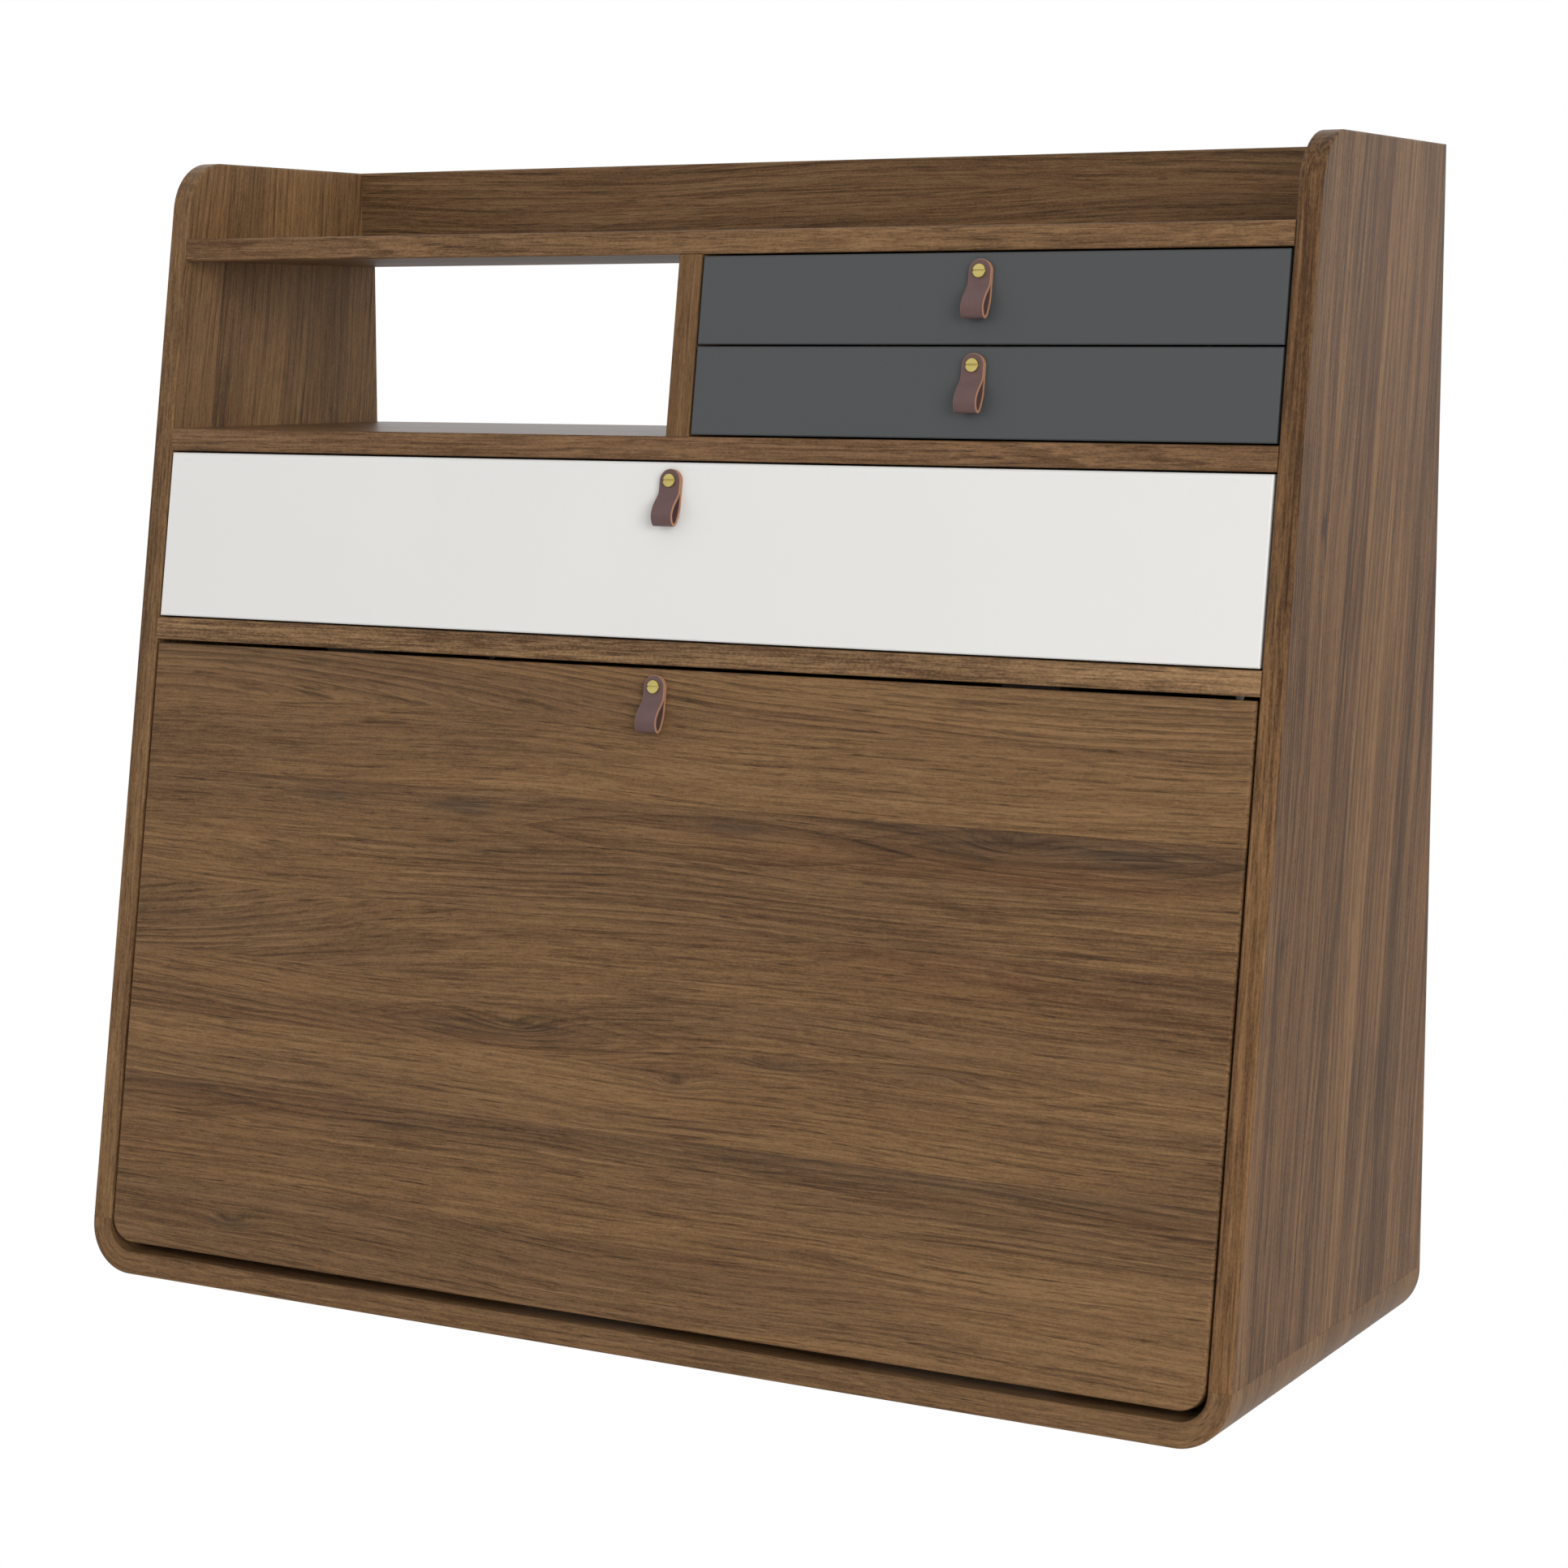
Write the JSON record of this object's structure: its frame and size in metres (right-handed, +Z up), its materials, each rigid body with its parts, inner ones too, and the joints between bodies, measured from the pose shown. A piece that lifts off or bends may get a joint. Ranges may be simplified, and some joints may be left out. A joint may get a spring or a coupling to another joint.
{
  "type": "fold down wall desk",
  "caption": "Wall-hung walnut desk with leaning tapered sides, fold down flap, drawers with leather loop pulls, open niche and top tray.",
  "frame": {"origin": "centre of the four wall screw holes, on the wall plane", "axes": "+X to the right of someone facing the desk, +Y back into the wall, +Z up; the front faces -Y"},
  "size_m": [1, 0.3918, 0.9],
  "materials": {
    "walnut": "satin oiled walnut, grain running along each board",
    "birch_ply": "matt birch plywood",
    "beech": "plain beech",
    "grey_lacquer": "satin dark grey lacquer on board",
    "white_lacquer": "satin off-white lacquer on board",
    "leather": "smooth vegetable-tanned leather with bare cut edges",
    "brass": "brushed brass",
    "steel": "zinc-plated steel",
    "catch_housing": "brown plastic"
  },
  "bodies": {
    "cabinet": {"left_side_panel": "walnut", "right_side_panel": "walnut", "bottom_panel": "walnut", "top_shelf": "walnut", "middle_shelf": "walnut", "lower_shelf": "walnut", "divider": "walnut", "back_rail": "walnut", "small_drawer_back_panel": "birch_ply", "wide_drawer_back_panel": "birch_ply", "desk_back_panel": "birch_ply", "upper_wall_rail": "walnut", "lower_wall_rail": "walnut", "desk_floor": "walnut", "floor_bearers": "birch_ply", "flap_bushes": "brass", "stay_studs": "brass", "flap_catches": "catch_housing", "top_drawer_fixed_runners": "steel", "second_drawer_fixed_runners": "steel", "wide_drawer_fixed_runners": "steel", "carcass_tongues": "beech"},
    "flap": {"flap": "walnut", "flap_pivot_pins": "brass", "stay_brackets": "steel", "stay_rivets": "brass", "strike_plates": "steel", "flap_pull": "leather", "flap_pull_screw": "brass"},
    "left_stay": {"left_stay_bar": "steel"},
    "right_stay": {"right_stay_bar": "steel"},
    "top_drawer": {"top_drawer_front": "grey_lacquer", "top_drawer_left_side": "birch_ply", "top_drawer_right_side": "birch_ply", "top_drawer_back": "birch_ply", "top_drawer_base": "birch_ply", "top_drawer_moving_runners": "steel", "top_drawer_pull": "leather", "top_drawer_pull_screw": "brass"},
    "top_drawer_middle_runners": {"top_drawer_middle_runners": "steel"},
    "second_drawer": {"second_drawer_front": "grey_lacquer", "second_drawer_left_side": "birch_ply", "second_drawer_right_side": "birch_ply", "second_drawer_back": "birch_ply", "second_drawer_base": "birch_ply", "second_drawer_moving_runners": "steel", "second_drawer_pull": "leather", "second_drawer_pull_screw": "brass"},
    "second_drawer_middle_runners": {"second_drawer_middle_runners": "steel"},
    "wide_drawer": {"wide_drawer_front": "white_lacquer", "wide_drawer_left_side": "birch_ply", "wide_drawer_right_side": "birch_ply", "wide_drawer_back": "birch_ply", "wide_drawer_base": "birch_ply", "wide_drawer_moving_runners": "steel", "wide_drawer_pull": "leather", "wide_drawer_pull_screw": "brass"},
    "wide_drawer_middle_runners": {"wide_drawer_middle_runners": "steel"}
  },
  "joints": [
    {"name": "flap_hinge", "type": "hinge", "parent": "cabinet", "child": "flap", "pos_m": [0, -0.37481, -0.235], "axis": [1, 0, 0], "range_deg": [0, 99]},
    {"name": "left_stay_pivot", "type": "hinge", "parent": "flap", "child": "left_stay", "pos_m": [-0.4765, -0.32244, -0.05768], "axis": [1, 0, 0], "range_deg": [-49.5, 0]},
    {"name": "right_stay_pivot", "type": "hinge", "parent": "flap", "child": "right_stay", "pos_m": [0.4765, -0.32244, -0.05768], "axis": [1, 0, 0], "range_deg": [-49.5, 0]},
    {"name": "top_drawer_slide", "type": "slide", "parent": "cabinet", "child": "top_drawer", "axis": [0, -1, 0], "range_m": [0, 0.2]},
    {"name": "top_drawer_middle_slide", "type": "slide", "parent": "cabinet", "child": "top_drawer_middle_runners", "axis": [0, -1, 0], "range_m": [0, 0.1]},
    {"name": "second_drawer_slide", "type": "slide", "parent": "cabinet", "child": "second_drawer", "axis": [0, -1, 0], "range_m": [0, 0.2]},
    {"name": "second_drawer_middle_slide", "type": "slide", "parent": "cabinet", "child": "second_drawer_middle_runners", "axis": [0, -1, 0], "range_m": [0, 0.1]},
    {"name": "wide_drawer_slide", "type": "slide", "parent": "cabinet", "child": "wide_drawer", "axis": [0, -1, 0], "range_m": [0, 0.25]},
    {"name": "wide_drawer_middle_slide", "type": "slide", "parent": "cabinet", "child": "wide_drawer_middle_runners", "axis": [0, -1, 0], "range_m": [0, 0.125]}
  ],
  "couplings": [
    {"joint": "left_stay_pivot", "follows": "flap_hinge", "ratio": -0.5},
    {"joint": "right_stay_pivot", "follows": "flap_hinge", "ratio": -0.5},
    {"joint": "top_drawer_middle_slide", "follows": "top_drawer_slide", "ratio": 0.5},
    {"joint": "second_drawer_middle_slide", "follows": "second_drawer_slide", "ratio": 0.5},
    {"joint": "wide_drawer_middle_slide", "follows": "wide_drawer_slide", "ratio": 0.5}
  ]
}
